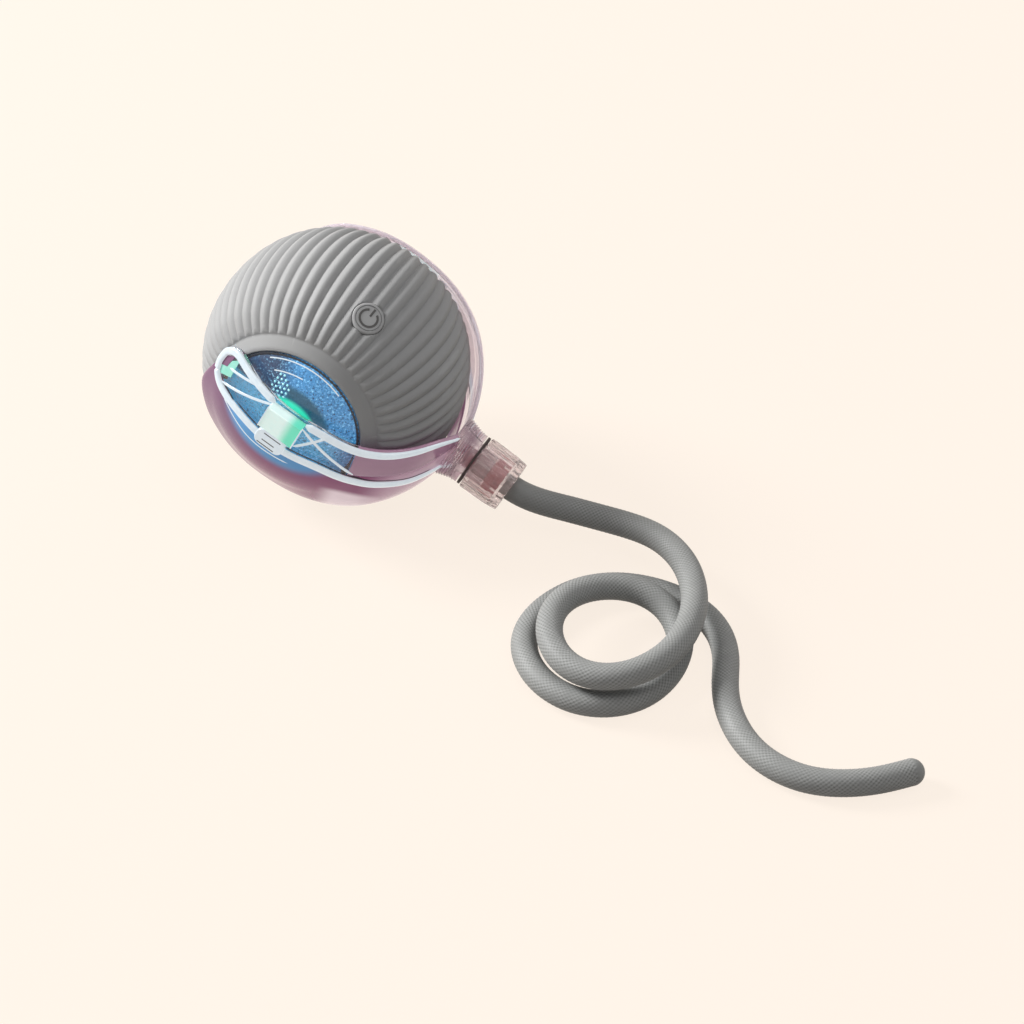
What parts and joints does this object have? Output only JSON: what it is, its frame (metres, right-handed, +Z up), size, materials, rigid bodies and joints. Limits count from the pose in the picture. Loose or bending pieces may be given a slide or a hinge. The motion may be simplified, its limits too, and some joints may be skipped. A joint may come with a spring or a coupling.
{
  "type": "self rolling cat ball",
  "caption": "Motorised ribbed ball that rolls on its belt between two clear arms, trailing a soft coiled tail from a bayonet nut.",
  "frame": {"origin": "on the floor, at the middle of the flat rib crest that the ball's belt stands on, straight below the middle of the ball", "axes": "+Z up; Y along the axle, with the front arm and the front window at -Y; the tail leaves towards +X and slopes down"},
  "size_m": [0.202, 0.093, 0.0637],
  "materials": {
    "sleeve_silicone": "matt grey silicone with fine ribs",
    "tail_silicone": "matt grey with a fine embossed weave",
    "clear_plastic": "clear with a faint mauve tint, polished",
    "window_plastic": "translucent blue, polished",
    "lamp_plastic": "translucent green, lit from behind",
    "shell_plastic": "pale moulded plastic",
    "inner_plastic": "black moulded plastic",
    "circuit_board": "green solder mask",
    "gear_plastic": "off-white moulded plastic",
    "battery_can": "blue wrapped metal cell",
    "steel": "plain steel",
    "brass": "turned brass",
    "dark_rubber": "dark rubber",
    "maroon_plastic": "maroon moulded plastic"
  },
  "bodies": {
    "harness": {"front_arm": "clear_plastic", "back_arm": "clear_plastic", "front_hub_bush": "brass", "back_hub_bush": "brass", "nut_washer": "dark_rubber", "tail_plug": "maroon_plastic", "tail": "tail_silicone"},
    "ball": {"ribbed_sleeve": "sleeve_silicone", "front_shell": "shell_plastic", "back_shell": "shell_plastic", "front_window": "window_plastic", "back_window": "window_plastic", "front_lamp_dome": "lamp_plastic", "back_lamp_dome": "lamp_plastic", "axle": "steel", "axle_clip": "steel", "chassis_plate": "inner_plastic", "motor": "steel", "battery": "battery_can", "battery_strap": "inner_plastic", "front_lamp_board": "circuit_board", "back_lamp_board": "circuit_board", "front_led_1": "lamp_plastic", "front_led_2": "lamp_plastic", "front_led_3": "lamp_plastic", "back_led_1": "lamp_plastic", "back_led_2": "lamp_plastic", "back_led_3": "lamp_plastic", "charge_socket": "steel", "power_switch": "inner_plastic", "switch_board": "circuit_board"},
    "swing": {"swing_bush": "brass", "drive_gear": "gear_plastic", "swing_arm": "inner_plastic", "swing_weight": "steel", "weight_screw_1": "steel", "weight_screw_2": "steel"},
    "pinion": {"motor_pinion": "brass", "motor_shaft": "steel"},
    "button": {"power_button": "sleeve_silicone"},
    "nut": {"lock_nut": "clear_plastic"}
  },
  "joints": [
    {"name": "ball_roll", "type": "hinge", "parent": "harness", "child": "ball", "pos_m": [0, 0, 0.03184], "axis": [0, -1, 0], "continuous": true},
    {"name": "weight_swing", "type": "hinge", "parent": "ball", "child": "swing", "pos_m": [0, 0, 0.03184], "axis": [0, -1, 0], "continuous": true},
    {"name": "pinion_spin", "type": "hinge", "parent": "ball", "child": "pinion", "pos_m": [0.00493, 0, 0.01831], "axis": [0, -1, 0], "continuous": true},
    {"name": "button_press", "type": "slide", "parent": "ball", "child": "button", "axis": [-0.4511, 0.3721, -0.8112], "range_m": [0, 0.0006], "stiffness_N_per_m": 400, "springref_m": -0.0008},
    {"name": "nut_turn", "type": "hinge", "parent": "harness", "child": "nut", "pos_m": [0, 0, 0.03184], "axis": [0.9063, 0, -0.4226], "range_deg": [-60, 0]}
  ],
  "couplings": [
    {"joint": "pinion_spin", "follows": "weight_swing", "ratio": -3}
  ]
}
